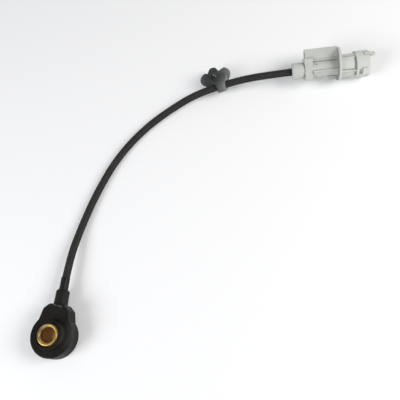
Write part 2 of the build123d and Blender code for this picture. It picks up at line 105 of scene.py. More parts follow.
# %% Cable
cable_radius = 2.4 * mm
cable_route = [
    (0.0, 24.2, 6.6),
    (0.0, 45.5, 6.6),
    (1.6, 66.5, 2.8),
    (8.1, 93.3, 2.4),
    (18.6, 120.2, 2.4),
    (35.2, 143.6, 2.4),
    (56.9, 161.5, 3.8),
    (72.0, 168.7, 7.2),
    (98.1, 176.9, 10.0),
    (122.6, 180.8, 11.08),
    (143.2, 184.2, 10.38),
]
cable_curve = bpy.data.curves.new("cable_line", "CURVE")
cable_curve.dimensions = "3D"
cable_curve.bevel_depth = cable_radius
cable_curve.bevel_resolution = 7
cable_curve.use_fill_caps = True
cable_spline = cable_curve.splines.new("NURBS")
cable_spline.points.add(len(cable_route) - 1)
for point, place in zip(cable_spline.points, cable_route):
    point.co = (*(Vector(place) * mm), 1.0)
cable_spline.order_u = 3
cable_spline.use_endpoint_u = True
cable_spline.resolution_u = 14
cable_line = bpy.data.objects.new("cable_line", cable_curve)
bpy.context.scene.collection.objects.link(cable_line)
cable_length = cable_spline.calc_length()
print("cable length:", round(cable_length, 4))

# %% [markdown]
# ## Frames of the plug and the neck
#
# The plug lies on its flange and leans on the table, so none of its sides is level. Its axis and
# the place of its flange are written once here, for the finishes and the mouldings to use. The
# short sleeve on the cable is made upright first and is then put in the neck's frame.

# %% Frames of the plug and the neck
plug_origin = Vector((132.353, 182.410, 10.749)) * mm
plug_axis = Vector((0.98610, 0.16275, -0.03351)).normalized()
plug_length = 49.5 * mm
flange_start = 29.6 * mm
flange_back = plug_origin.dot(plug_axis) + flange_start
neck_end = Vector((0.0, 27.8, 6.6)) * mm
neck_frame = Matrix.Translation(neck_end) @ Matrix.Rotation(-pi / 2, 4, "X")
print("plug nose:", [round(v, 4) for v in plug_origin + plug_axis * plug_length])

# %% [markdown]
# ## Node helpers
#
# Every material and node group is written as nodes. One helper adds a node and fills its sockets,
# with a number, a colour or another node's output, and another opens a group with named sockets.


# %% Node helpers
def add_node(tree, kind, inputs=None, **settings):
    """A node in a tree. inputs maps a socket's name or place to a value or to another socket."""
    made = tree.nodes.new(kind)
    for name, value in settings.items():
        setattr(made, name, value)
    for name, value in (inputs or {}).items():
        if isinstance(value, bpy.types.NodeSocket):
            tree.links.new(value, made.inputs[name])
        else:
            made.inputs[name].default_value = value
    return made


def new_group(name, kind, inputs, outputs):
    """An empty node group with named sockets, its input node and its output node."""
    group = bpy.data.node_groups.new(name, kind)
    for socket_name, socket_type, value in inputs:
        socket = group.interface.new_socket(socket_name, in_out="INPUT", socket_type=socket_type)
        if value is not None:
            socket.default_value = value
    for socket_name, socket_type in outputs:
        group.interface.new_socket(socket_name, in_out="OUTPUT", socket_type=socket_type)
    return group, group.nodes.new("NodeGroupInput"), group.nodes.new("NodeGroupOutput")


def math_node(tree, operation, first, second=0.0):
    """The output of one Math node."""
    return add_node(tree, "ShaderNodeMath", {0: first, 1: second}, operation=operation).outputs[0]


def ramp(tree, value, low, high, to_low=0.0, to_high=1.0):
    """A value spread from one range to another, with soft ends."""
    made = add_node(
        tree,
        "ShaderNodeMapRange",
        {"Value": value, "From Min": low, "From Max": high, "To Min": to_low, "To Max": to_high},
        interpolation_type="SMOOTHSTEP",
    )
    return made.outputs["Result"]


def patch(tree, place, centre, near, far, strength):
    """A soft round mask about a point, with its place and sizes in millimetres."""
    ends = {0: place, 1: Vector(centre) * mm}
    away = add_node(tree, "ShaderNodeVectorMath", ends, operation="DISTANCE").outputs["Value"]
    return ramp(tree, away, near * mm, far * mm, strength, 0.0)


def noise(tree, place, scale, detail, roughness=0.5):
    """The value of a Noise Texture."""
    inputs = {"Vector": place, "Scale": scale, "Detail": detail, "Roughness": roughness}
    return add_node(tree, "ShaderNodeTexNoise", inputs).outputs["Fac"]


def blend_colours(tree, mask, first, second):
    """A colour mixed with a plain tone or with another colour by a mask."""
    made = add_node(tree, "ShaderNodeMix", {0: mask, 6: first, 7: second}, data_type="RGBA")
    return made.outputs[2]


# %% [markdown]
# ## Shared surface effects
#
# Four effects return on several finishes, so each is one node group. Moulded plastic has a fine
# grain and a faint mottle from the way it flowed. Corners that hands and tools touch are rubbed
# paler, and the same group paints the neck's bead pale as a highlight. Dust settles on what faces
# up. Turned metal keeps fine rings from the tool.

# %% Shared surface effects
vector_in = ("Vector", "NodeSocketVector", None)

moulded_grain, taken, given = new_group(
    "moulded_grain",
    "ShaderNodeTree",
    [vector_in, ("Grain Scale", "NodeSocketFloat", 2200.0), ("Mottle Scale", "NodeSocketFloat", 160.0)],
    [("Height", "NodeSocketFloat"), ("Mottle", "NodeSocketFloat")],
)
fine = noise(moulded_grain, taken.outputs["Vector"], taken.outputs["Grain Scale"], 3.0, 0.6)
broad = noise(moulded_grain, taken.outputs["Vector"], taken.outputs["Mottle Scale"], 4.0)
moulded_grain.links.new(fine, given.inputs["Height"])
moulded_grain.links.new(ramp(moulded_grain, broad, 0.32, 0.68), given.inputs["Mottle"])

rubbed_and_highlit_rims, taken, given = new_group(
    "rubbed_and_highlit_rims",
    "ShaderNodeTree",
    [vector_in, ("Rim", "NodeSocketFloat", 0.0), ("Patch Scale", "NodeSocketFloat", 300.0)],
    [("Wear", "NodeSocketFloat")],
)
patchy = noise(rubbed_and_highlit_rims, taken.outputs["Vector"], taken.outputs["Patch Scale"], 5.0, 0.7)
worn_through = ramp(rubbed_and_highlit_rims, patchy, 0.38, 0.62)
wear_and_highlight = math_node(rubbed_and_highlit_rims, "MULTIPLY", worn_through, taken.outputs["Rim"])
rubbed_and_highlit_rims.links.new(wear_and_highlight, given.inputs["Wear"])

settled_dust, taken, given = new_group(
    "settled_dust",
    "ShaderNodeTree",
    [vector_in, ("Speck Scale", "NodeSocketFloat", 900.0)],
    [("Dust", "NodeSocketFloat")],
)
specks = noise(settled_dust, taken.outputs["Vector"], taken.outputs["Speck Scale"], 6.0, 0.75)
normal = add_node(settled_dust, "ShaderNodeTexCoord").outputs["Normal"]
facing = add_node(settled_dust, "ShaderNodeSeparateXYZ", {0: normal}).outputs["Z"]
upward = ramp(settled_dust, facing, 0.2, 0.9)
speckled = ramp(settled_dust, specks, 0.5, 0.72)
settled_dust.links.new(math_node(settled_dust, "MULTIPLY", upward, speckled), given.inputs["Dust"])

turned_rings, taken, given = new_group(
    "turned_rings",
    "ShaderNodeTree",
    [vector_in, ("Rings Per Metre", "NodeSocketFloat", 6000.0)],
    [("Height", "NodeSocketFloat"), ("Streak", "NodeSocketFloat"), ("Radius", "NodeSocketFloat")],
)
split = add_node(turned_rings, "ShaderNodeSeparateXYZ", {0: taken.outputs["Vector"]})
flat = add_node(turned_rings, "ShaderNodeCombineXYZ", {0: split.outputs[0], 1: split.outputs[1]})
radius = add_node(turned_rings, "ShaderNodeVectorMath", {0: flat.outputs[0]}, operation="LENGTH")
radius = radius.outputs["Value"]
along = math_node(turned_rings, "ADD", radius, split.outputs["Z"])
turns = math_node(turned_rings, "MULTIPLY", along, taken.outputs["Rings Per Metre"])
streaks = add_node(
    turned_rings, "ShaderNodeTexNoise", {"W": turns, "Scale": 1.0, "Detail": 2.0}, noise_dimensions="1D"
).outputs["Fac"]
turned_rings.links.new(streaks, given.inputs["Height"])
turned_rings.links.new(ramp(turned_rings, streaks, 0.3, 0.7), given.inputs["Streak"])
turned_rings.links.new(radius, given.inputs["Radius"])
print("node groups:", [group.name for group in bpy.data.node_groups])

# %% [markdown]
# ## Finishes
#
# Each finish is a Principled shader of its own. What varies over the surface comes from the groups
# above: two close tones for the mottle, a paler tone on the rubbed rims (on the neck's bead a painted
# highlight), painted shade in the clefts and a slightly rougher skin where dust lies. A few marks
# belong to one place only: a tone that fades along the piece, painted light where one end is more lit,
# a band of painted shade behind the plug's flange, and soft round patches of painted light and painted
# highlights. Gloss, index and sheen are plain numbers on the shader itself.

# %% Finish helpers
dust_colour = (0.55, 0.54, 0.52, 1.0)
dust_roughness = 0.15
shade_band_edge = 0.3 * mm
shade_band_strength = 0.6
metal_mottle = 900.0


def place_group(tree, group, inputs):
    """A shared effect placed in a material."""
    return add_node(tree, "ShaderNodeGroup", inputs, node_tree=group)


def start_finish(name):
    """An empty node material, its Principled shader and the surface's own coordinates."""
    material = bpy.data.materials.new(name)
    material.use_nodes = True
    tree = material.node_tree
    shader = tree.nodes["Principled BSDF"]
    place = add_node(tree, "ShaderNodeTexCoord").outputs["Object"]
    return material, tree, shader, place


def roughen(tree, shader, height, depth):
    """Feed the shader's normal from a height whose depth is in millimetres."""
    bump = add_node(tree, "ShaderNodeBump", {"Height": height, "Distance": depth * mm, "Strength": 1.0})
    tree.links.new(bump.outputs["Normal"], shader.inputs["Normal"])


# Painted shade: a band darkens the flange's rear face and a thin strip of the barrel behind it.
def painted_shade_band(tree, place, direction, level, full_to, gone_by):
    """A mask that rises to a level along a direction and is gone a little past it."""
    along = add_node(tree, "ShaderNodeVectorMath", {0: place, 1: direction}, operation="DOT_PRODUCT")
    rise = ramp(tree, along.outputs["Value"], level - shade_band_edge, level)
    fall = ramp(tree, along.outputs["Value"], full_to, gone_by, shade_band_strength, 0.0)
    return math_node(tree, "MULTIPLY", rise, fall)


# %% Moulded, extruded and turned finishes
def rub_and_grain(
    name, tones, rim_tone, roughness, grain=2200.0, depth=0.012, rub=0.5, dust=0.15,
    cleft_shade_amount=(0.3, 0.5), painted_light_fade=None, shade_band=None, painted_light_patches=(), **plain
):
    """A moulded or extruded finish: two close tones, rubbed rims, painted shade in clefts, dust and fine
    grain.

    For the clefts' painted shade, a pair says how much of the tone it leaves and how far it covers. The
    fade is a stretch along X with a paler tone at its end, painted light where that end is more lit; the
    band takes the values of a band of painted shade; the patches are soft round marks of painted light
    and painted highlights, with tones.
    """
    material, tree, shader, place = start_finish(name)
    for socket, value in plain.items():
        shader.inputs[socket.replace("_", " ")].default_value = value
    skin = place_group(tree, moulded_grain, {"Vector": place, "Grain Scale": grain})
    rim_wear_and_highlight = add_node(tree, "ShaderNodeAttribute", attribute_name="rim_wear_and_highlight").outputs["Fac"]
    shaded_cleft = add_node(tree, "ShaderNodeAttribute", attribute_name="shaded_cleft").outputs["Fac"]
    wear_and_highlight = place_group(tree, rubbed_and_highlit_rims, {"Vector": place, "Rim": rim_wear_and_highlight}).outputs["Wear"]
    lying = place_group(tree, settled_dust, {"Vector": place}).outputs["Dust"]
    colour = blend_colours(tree, skin.outputs["Mottle"], (*tones[0], 1.0), (*tones[1], 1.0))
    # Painted light: a tone that fades along X, paler where one end is more lit.
    if painted_light_fade:
        across = add_node(tree, "ShaderNodeSeparateXYZ", {0: place}).outputs["X"]
        colour = blend_colours(tree, ramp(tree, across, *painted_light_fade[0]), colour, (*painted_light_fade[1], 1.0))
    # Patches of painted light and painted highlights.
    for spot, tone in painted_light_patches:
        colour = blend_colours(tree, patch(tree, place, *spot), colour, (*tone, 1.0))
    # Rubbed rims are paler; on the neck's bead this paler tone is a painted highlight.
    colour = blend_colours(tree, math_node(tree, "MULTIPLY", wear_and_highlight, rub), colour, (*rim_tone, 1.0))
    # The painted shade behind the flange joins the painted shade of the clefts.
    if shade_band:
        shaded_cleft = math_node(tree, "MAXIMUM", shaded_cleft, painted_shade_band(tree, place, *shade_band))
    # Painted shade: the clefts are darkened towards a darker tone of the plastic.
    cleft_shade_tone = [channel * cleft_shade_amount[0] for channel in tones[0]]
    colour = blend_colours(tree, math_node(tree, "MULTIPLY", shaded_cleft, cleft_shade_amount[1]), colour, (*cleft_shade_tone, 1.0))
    colour = blend_colours(tree, math_node(tree, "MULTIPLY", lying, dust), colour, dust_colour)
    tree.links.new(colour, shader.inputs["Base Color"])
    matt = ramp(tree, skin.outputs["Mottle"], 0.0, 1.0, *roughness)
    matt = math_node(tree, "ADD", matt, math_node(tree, "MULTIPLY", lying, dust_roughness))
    tree.links.new(matt, shader.inputs["Roughness"])
    roughen(tree, shader, skin.outputs["Height"], depth)
    return material


def turned_metal(name, bright, dull, roughness, rings=6000.0, depth=0.004):
    """A turned or ground metal finish with fine tool rings round the bore axis."""
    material, tree, shader, place = start_finish(name)
    shader.inputs["Metallic"].default_value = 1.0
    lines = place_group(tree, turned_rings, {"Vector": place, "Rings Per Metre": rings})
    skin = place_group(tree, moulded_grain, {"Vector": place, "Grain Scale": metal_mottle})
    tone = blend_colours(tree, skin.outputs["Mottle"], (*bright, 1.0), (*dull, 1.0))
    tree.links.new(tone, shader.inputs["Base Color"])
    tree.links.new(ramp(tree, lines.outputs["Streak"], 0.0, 1.0, *roughness), shader.inputs["Roughness"])
    roughen(tree, shader, lines.outputs["Height"], depth)
    return material, tree, shader, lines, tone


# %% Finishes of the mouldings
black_nylon = rub_and_grain(
    "black_nylon",
    ((0.0135, 0.0129, 0.0117), (0.0160, 0.0154, 0.0142)),
    (0.095, 0.095, 0.095),
    (0.38, 0.46),
    dust=0.03,
    painted_light_patches=(
        # Patches of painted light: one lifts the shade beside the sleeve on the hub, one lightens the
        # neck and the block's end.
        (((9.5, 1.5, 13.5), 3.0, 9.0, 0.9), (0.036, 0.035, 0.034)),
        (((0.0, 22.0, 11.0), 3.0, 9.0, 0.7), (0.021, 0.021, 0.020)),
    ),
    Specular_IOR_Level=0.06,
)
clip_nylon = rub_and_grain(
    "clip_nylon",
    ((0.026, 0.029, 0.027), (0.033, 0.036, 0.034)),
    (0.16, 0.17, 0.17),
    (0.34, 0.42),
    dust=0.05,
    # Painted light: the right lobe is paler along X and in a soft patch; the two small pale spots are
    # painted highlights.
    painted_light_fade=((0.079, 0.092), (0.150, 0.160, 0.164)),
    painted_light_patches=(
        (((93.5, 171.0, 12.0), 3.0, 8.0, 0.8), (0.24, 0.26, 0.26)),
        (((80.5, 178.5, 13.3), 0.2, 0.7, 0.8), (0.60, 0.62, 0.62)),
        (((81.7, 178.5, 11.9), 0.2, 0.7, 0.8), (0.60, 0.62, 0.62)),
    ),
    Specular_IOR_Level=0.5,
)
grey_nylon = rub_and_grain(
    "grey_nylon",
    ((0.530, 0.552, 0.514), (0.550, 0.572, 0.536)),
    (0.74, 0.76, 0.72),
    (0.36, 0.48),
    rub=0.8,
    dust=0.0,
    cleft_shade_amount=(0.20, 0.85),
    # Painted light: the plug's front half is paler, where more light falls.
    painted_light_fade=((0.158, 0.166), (0.625, 0.646, 0.612)),
    shade_band=(plug_axis, flange_back, flange_back + 0.06 * mm, flange_back + 0.12 * mm),
    Specular_IOR_Level=0.45,
)
lock_nylon = rub_and_grain(
    "lock_nylon", ((0.40, 0.42, 0.39), (0.46, 0.47, 0.44)), (0.6, 0.6, 0.58), (0.4, 0.5), dust=0.0
)
print("moulded finishes:", [material.name for material in bpy.data.materials])

# %% [markdown]
# ## Finishes of the cable and the hidden pieces
#
# The jacket and the shrunk tube are both soft and dark, so they differ only in gloss. The pieces
# inside show in the plug's mouth at most. They use the same two recipes, with the tones of their
# real materials: red silicone, tinned brass, ground ceramic, blued spring steel and clear film.

# %% Finishes of the cable and the hidden pieces
cable_jacket = rub_and_grain(
    "cable_jacket",
    ((0.0250, 0.0250, 0.0240), (0.0300, 0.0300, 0.0288)),
    (0.05, 0.05, 0.048),
    (0.56, 0.64),
    grain=1500.0,
    depth=0.012,
    dust=0.05,
    Specular_IOR_Level=0.14,
)
shrink_tube = rub_and_grain(
    "shrink_tube",
    ((0.0120, 0.0116, 0.0110), (0.0150, 0.0146, 0.0140)),
    (0.05, 0.05, 0.048),
    (0.42, 0.50),
    grain=1200.0,
    depth=0.010,
    dust=0.03,
    Specular_IOR_Level=0.16,
)
seal_rubber = rub_and_grain(
    "seal_rubber", ((0.36, 0.10, 0.045), (0.45, 0.14, 0.06)), (0.5, 0.2, 0.1), (0.5, 0.6), dust=0.0
)
core_red = rub_and_grain(
    "core_red", ((0.40, 0.03, 0.02), (0.48, 0.05, 0.03)), (0.5, 0.1, 0.1), (0.35, 0.45), dust=0.0
)
core_black = rub_and_grain(
    "core_black", ((0.02, 0.02, 0.02), (0.03, 0.03, 0.03)), (0.08, 0.08, 0.08), (0.35, 0.45), dust=0.0
)
clear_film = rub_and_grain(
    "clear_film",
    ((0.62, 0.53, 0.30), (0.70, 0.60, 0.36)),
    (0.75, 0.68, 0.45),
    (0.25, 0.32),
    depth=0.002,
    dust=0.0,
)
piezo_ceramic = rub_and_grain(
    "piezo_ceramic",
    ((0.36, 0.33, 0.29), (0.44, 0.41, 0.36)),
    (0.6, 0.58, 0.52),
    (0.55, 0.68),
    grain=5000.0,
    dust=0.0,
)
steel = turned_metal("steel", (0.56, 0.56, 0.55), (0.46, 0.46, 0.46), (0.26, 0.40))[0]
spring_steel = turned_metal("spring_steel", (0.20, 0.21, 0.25), (0.14, 0.14, 0.17), (0.30, 0.42))[0]
tinned_brass = turned_metal(
    "tinned_brass", (0.72, 0.71, 0.68), (0.62, 0.60, 0.55), (0.24, 0.36), rings=2500.0
)[0]
print("finishes:", len(bpy.data.materials))

# %% [markdown]
# ## Brass
#
# The sleeve was turned from brass bar. Its mouth and rim are bright, because each screw that goes
# in rubs them, and the bore stays brown with tarnish. The tarnish follows the distance from the
# axis; where it runs out over the cone of the mouth it is painted shade. One side of the rim is
# painted darker by a soft round patch: painted shade.

# %% Brass
brass, tree, shader, lines, tone = turned_metal(
    "brass", (0.69, 0.48, 0.170), (0.56, 0.375, 0.120), (0.36, 0.48), rings=5000.0, depth=0.006
)
tarnish_from, tarnish_to = 4.25 * mm, 5.3 * mm
# Tarnish in the bore; where it runs out over the mouth's cone it is painted shade.
tarnish_and_cone_shade = ramp(tree, lines.outputs["Radius"], tarnish_from, tarnish_to, 1.0, 0.0)
aged = blend_colours(tree, tarnish_and_cone_shade, tone, (0.60, 0.40, 0.19, 1.0))
place = add_node(tree, "ShaderNodeTexCoord").outputs["Object"]
# Painted shade: a soft round patch darkens one side of the rim.
painted_shade_spot = patch(tree, place, (-5.4, 0.0, 17.0), 2.0, 5.2, 1.0)
aged = blend_colours(tree, painted_shade_spot, aged, (0.22, 0.155, 0.068, 1.0))
tree.links.new(aged, shader.inputs["Base Color"])
print("brass nodes:", len(tree.nodes))

# %% [markdown]
# ## Mesh helpers
#
# A CAD node comes as loose triangles with knife-sharp edges, and no moulding has those. A copy is
# merged and its flat faces are joined. Its inner corners are rounded first and get a value that
# marks the clefts, where shade is painted. Then its outer corners are rounded by a fraction of a
# millimetre and get a value that marks the rims, which the rubbed rims read.


# %% Mesh helpers
def as_piece(mesh, name, material):
    """A mesh as a shown piece in the frame, with its finish."""
    mesh.name = name
    mesh.materials.clear()
    mesh.materials.append(material)
    piece = bpy.data.objects.new(name, mesh)
    bpy.context.scene.collection.objects.link(piece)
    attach(piece, root)
    return piece


def shade(mesh, angle=48.0):
    """Smooth shading that stays sharp past an angle."""
    mesh.polygons.foreach_set("use_smooth", [True] * len(mesh.polygons))
    mesh.set_sharp_from_angle(angle=radians(angle))


def weigh_normals(mesh, name):
    """The mesh with normals that keep its large faces flat."""
    carrier = bpy.data.objects.new(name + "_carrier", mesh)
    bpy.context.scene.collection.objects.link(carrier)
    weighted = carrier.modifiers.new("weighted", "WEIGHTED_NORMAL")
    weighted.keep_sharp = True
    evaluated = carrier.evaluated_get(bpy.context.evaluated_depsgraph_get())
    result = bpy.data.meshes.new_from_object(evaluated)
    bpy.data.objects.remove(carrier)
    return result


# %% Rounded edges
merge_distance = 0.001 * mm
flat_angle = radians(0.6)
sharp_angle = radians(27.0)


def eased(node, name, width, cleft_width, reshape=None, deep=None):
    """A merged copy of a CAD node's mesh with its clefts and then its rims rounded and marked.

    reshape changes the merged copy first. Where deep is given, only the clefts that it picks are
    rounded, and they get their full width without a clamp.
    """
    shape = bmesh.new()
    shape.from_mesh(frame["nodes"][node].data)
    bmesh.ops.remove_doubles(shape, verts=shape.verts, dist=merge_distance)
    bmesh.ops.dissolve_limit(shape, angle_limit=flat_angle, verts=shape.verts, edges=shape.edges)
    if reshape:
        reshape(shape)
    # The first mark is where shade is painted in the clefts, the second marks the rims.
    marks = [shape.verts.layers.float.new(mark) for mark in ("shaded_cleft", "rim_wear_and_highlight")]
    in_strip = shape.faces.layers.int.new("in_strip")
    for layer, offset, outward in ((marks[0], cleft_width, False), (marks[1], width, True)):
        sharp = [
            edge
            for edge in shape.edges
            if edge.is_manifold
            and edge.is_convex == outward
            and edge.calc_face_angle() > sharp_angle
            and (outward or deep is None or deep((edge.verts[0].co + edge.verts[1].co) / 2))
        ]
        made = bmesh.ops.bevel(
            shape,
            geom=sharp,
            offset=offset,
            offset_type="OFFSET",
            segments=2,
            profile=0.5,
            affect="EDGES",
            clamp_overlap=outward or deep is None,
            loop_slide=True,
        )
        for vert in made["verts"]:
            vert[layer] = 1.0
        for face in made["faces"]:
            face[in_strip] = 1
        print(name, "edges rounded:", len(sharp))
    for vert in shape.verts:
        if not all(face[in_strip] for face in vert.link_faces):
            vert[marks[0]] = vert[marks[1]] = 0.0
    mesh = bpy.data.meshes.new(name)
    shape.to_mesh(mesh)
    shape.free()
    shade(mesh)
    return weigh_normals(mesh, name)


# %% Turned shapes
def turned(name, profile, steps, close=True):
    """A shape turned about the Z axis from (radius, height) points, as a ring or open at its ends."""
    shape = bmesh.new()
    rings = []
    for step in range(steps):
        angle = 2 * pi * step / steps
        rings.append([shape.verts.new((r * cos(angle), r * sin(angle), z)) for r, z in profile])
    count = len(profile)
    for step in range(steps):
        here, there = rings[step], rings[(step + 1) % steps]
        for i in range(count if close else count - 1):
            k = (i + 1) % count
            shape.faces.new((here[i], there[i], there[k], here[k]))
    bmesh.ops.recalc_face_normals(shape, faces=shape.faces)
    mesh = bpy.data.meshes.new(name)
    shape.to_mesh(mesh)
    shape.free()
    return mesh


# %% [markdown]
# ## Forms that the photo corrects
#
# Two forms differ a little from the solids. The end of the housing's block is shorter in the photo,
# and the ends of the clip's wing and stud are rounded instead of cut straight. Both are moved on
# the copies, along the directions in which the solids were drawn. Lengths here are in millimetres
# and angles in degrees, as they were read off.

# %% Shorter block
block_end = ((13.0, 13.0), (16.5, 15.4), (20.0, 18.6), (27.8, 27.8))


def between(points, value):
    """The value of a line through (place, value) points, straight between them."""
    for (x0, y0), (x1, y1) in zip(points, points[1:]):
        if value <= x1:
            return y0 + (y1 - y0) * max(0.0, value - x0) / (x1 - x0)
    return points[-1][1]


def shorten_block(shape):
    """Move the housing's block end back along the neck."""
    for vert in shape.verts:
        if block_end[0][0] * mm < vert.co.y < block_end[-1][0] * mm:
            vert.co.y = between(block_end, vert.co.y / mm) * mm


print("block end moved to y:", between(block_end, 20.0))

# %% [markdown]
# ## Round the clip
#
# The wing is a thin bowed plate, so its points are told apart by their angle along the bow, their
# radius and their height. A table gives the angle at which the wing ends at each height. The plate
# is first cut into strips at these heights, because a large flat face has no points to move.

# %% Round the clip
clip_centre = Vector((85.05, 172.8, 8.6)) * mm
clip_frame = Matrix(
    ((0.94907, 0.29817, 0.10182), (-0.27299, 0.93952, -0.20683), (-0.15733, 0.1685, 0.97306))
)
wing_shift = -1.6
wing_half_length = 10.0
wing_bow = (12.8, 14.0)
wing_bow_centre = 19.6
wing_fixed_angle = 20.0
wing_top = 7.2
wing_top_corner = 2.5
wing_left_end = (
    (-4.9, 38.0), (-4.4, 47.0), (-3.6, 51.5), (-2.6, 54.0), (-0.3, 52.5),
    (1.6, 49.2), (4.7, 41.2), (6.5, 34.0), (7.2, 28.0),
)
wing_right_end = (
    (-4.9, 28.0), (-4.4, 34.5), (-3.6, 38.9), (-2.5, 44.2), (-1.1, 47.8),
    (1.0, 47.4), (3.9, 44.1), (6.5, 37.0), (7.2, 31.0),
)
wing_cuts = (6.4, 5.5, 4.5, 3.4, 2.2, 1.0, -0.3, -1.5, -2.6, -3.6, -4.4)
stud_cuts = (12.4, 13.5, 14.5, 15.3, 16.0)
stud_place = -2.5
stud_root = 11.2
stud_tip = 16.5
stud_fullness = 0.8
barb_reach = 3.8
slack = 0.1
cut_distance = 0.0001 * mm


def cut_across(shape, normal, levels, chosen):
    """Cut the chosen faces of the clip by planes across its own direction, to get points to move."""
    for level in levels:
        faces = [face for face in shape.faces if chosen(face)]
        edges = {edge for face in faces for edge in face.edges}
        verts = {vert for face in faces for vert in face.verts}
        bmesh.ops.bisect_plane(
            shape,
            geom=[*verts, *edges, *faces],
            dist=cut_distance,
            plane_co=clip_centre + normal * level * mm,
            plane_no=normal,
        )


def clip_place(point):
    """A point along the clip, out from the cable and up, in millimetres."""
    return clip_frame @ (point - clip_centre) / mm


def bow_place(point):
    """A point's angle along the wing's bow in degrees, its radius and its height."""
    along, out, up = clip_place(point)
    across, back = along - wing_shift, wing_bow_centre - out
    return degrees(atan2(across, back)), hypot(across, back), up


def on_wing(point):
    """Whether a point is on the free part of the wing."""
    angle, radius, up = bow_place(point)
    return abs(angle) > wing_fixed_angle and wing_bow[0] - slack < radius < wing_bow[1] + slack


def on_stud(point):
    """Whether a point is on the head of the stud."""
    along, out, up = clip_place(point)
    return out > stud_root - slack / 2 and abs(along - stud_place) < barb_reach + slack


def wing_edge(up, radius):
    """The angle at which the solid's wing ends at a height."""
    rise = min(wing_top_corner, max(0.0, up - wing_top + wing_top_corner))
    half = wing_half_length - wing_top_corner + (wing_top_corner**2 - rise**2) ** 0.5
    return degrees(asin(half / radius))


def round_clip(shape):
    """Round the ends of the clip's wing and the head of its stud."""
    along, out, up = clip_frame
    cut_across(shape, up, wing_cuts, lambda face: all(on_wing(v.co) for v in face.verts))
    cut_across(shape, out, stud_cuts, lambda face: all(on_stud(v.co) for v in face.verts))
    for vert in shape.verts:
        if on_wing(vert.co):
            angle, radius, height = bow_place(vert.co)
            ends = wing_left_end if angle < 0 else wing_right_end
            wanted = between(ends, height) - wing_fixed_angle
            reach = wanted / (wing_edge(height, radius) - wing_fixed_angle)
            turned_to = radians(wing_fixed_angle + (abs(angle) - wing_fixed_angle) * reach)
            across = radius * sin(turned_to) * (-1 if angle < 0 else 1) + wing_shift
            back = wing_bow_centre - radius * cos(turned_to)
            vert.co = clip_centre + (along * across + out * back + up * height) * mm
        elif on_stud(vert.co):
            across, depth, height = clip_place(vert.co)
            part = min(1.0, (depth - stud_root) / (stud_tip - stud_root))
            bulge = barb_reach * ((1.0 - part**2) ** 0.5 - (1.0 - part))
            if abs(across - stud_place) > slack / 2 and part < 1.0:
                vert.co += along * (bulge if across > stud_place else -bulge) * stud_fullness * mm


print("wing cut at heights:", wing_cuts)

# %% [markdown]
# ## Mouldings
#
# Housing, clip, plug and cap are injection mouldings. The copies get the small radii that a
# mould's corners leave, and the housing and the clip get the forms above. The plug's outer clefts
# get painted shade, so they are rounded wide enough to show as dark lines. A bevel that wide can't
# be clamped, and would break the small steps in the socket, so the clefts in there stay sharp.

# %% Mouldings
housing_mesh = eased(
    "sensor_housing", "housing_moulding", width=0.25 * mm, cleft_width=0.3 * mm, reshape=shorten_block
)
housing = as_piece(housing_mesh, "housing_moulding", black_nylon)
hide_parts("sensor_housing")
clip_mesh = eased(
    "cable_clip", "clip_moulding", width=0.2 * mm, cleft_width=0.3 * mm, reshape=round_clip
)
clip = as_piece(clip_mesh, "clip_moulding", clip_nylon)
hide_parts("cable_clip")
shroud_from, shroud_skin = 41.5, 7.6
barrel_from, barrel_skin = 35.5, 6.3
rear_skin = 5.2


def on_plug_outside(point):
    """Whether a point is on the plug's outside, where its clefts get painted shade."""
    away = point - plug_origin
    along = away.dot(plug_axis) / mm
    radius = (away - plug_axis * away.dot(plug_axis)).length / mm
    if along > shroud_from:
        return radius > shroud_skin
    return radius > (barrel_skin if along > barrel_from else rear_skin)


plug_mesh = eased(
    "plug_housing", "plug_moulding", width=0.2 * mm, cleft_width=0.4 * mm, deep=on_plug_outside
)
plug = as_piece(plug_mesh, "plug_moulding", grey_nylon)
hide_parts("plug_housing")
cap_mesh = eased("rear_cap", "cap_moulding", width=0.25 * mm, cleft_width=0.25 * mm)
cap = as_piece(cap_mesh, "cap_moulding", grey_nylon)
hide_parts("rear_cap")

# %% [markdown]
# ## Bead at the neck's foot
#
# Where the neck meets the block the two halves of the mould left a short raised line. It is a thin
# rod with round ends, turned about its own line. Its rim value is far above one, so that nearly all
# of it takes the pale rim tone: a painted highlight.

# %% Bead at the neck's foot
bead_start = Vector((-1.6, 17.95, 12.2)) * mm
bead_run = Vector((3.7, 16.95, 12.2)) * mm - bead_start
bead_radius = 0.38 * mm
bead_highlight = 6.0
end_angles = [pi * i / 12 for i in range(1, 6)]
bead_profile = [(bead_radius * sin(angle), -bead_radius * cos(angle)) for angle in end_angles]
bead_profile += [(r, bead_run.length - z) for r, z in reversed(bead_profile)]
bead_mesh = turned("foot_bead", bead_profile, steps=16, close=False)
bead_turn = bead_run.to_track_quat("Z", "Y").to_matrix().to_4x4()
bead_mesh.transform(Matrix.Translation(bead_start) @ bead_turn)
# Painted highlight: the large rim value makes the whole bead take the pale rim tone.
bead_highlight_rim = bead_mesh.attributes.new("rim_wear_and_highlight", "FLOAT", "POINT")
bead_highlight_rim.data.foreach_set("value", [bead_highlight] * len(bead_mesh.vertices))
shade(bead_mesh, 60.0)
foot_bead = as_piece(bead_mesh, "foot_bead", black_nylon)
print(foot_bead.name, "length:", round(bead_run.length / mm, 1), "mm")

# %% [markdown]
# ## Brass sleeve
#
# A turned part is one profile taken round an axis. Small radii on the rim and on both ends of the
# mouth's cone catch the light as thin rings, which is most of what makes it look machined.

# %% Brass sleeve
bore_radius = 4.2 * mm
sleeve_radius = 6.2 * mm
sleeve_top = 17.2 * mm
flange_radius = 9.9 * mm
flange_thickness = 2.0 * mm
mouth_cone = 1.1 * mm
rim_round = 0.3 * mm


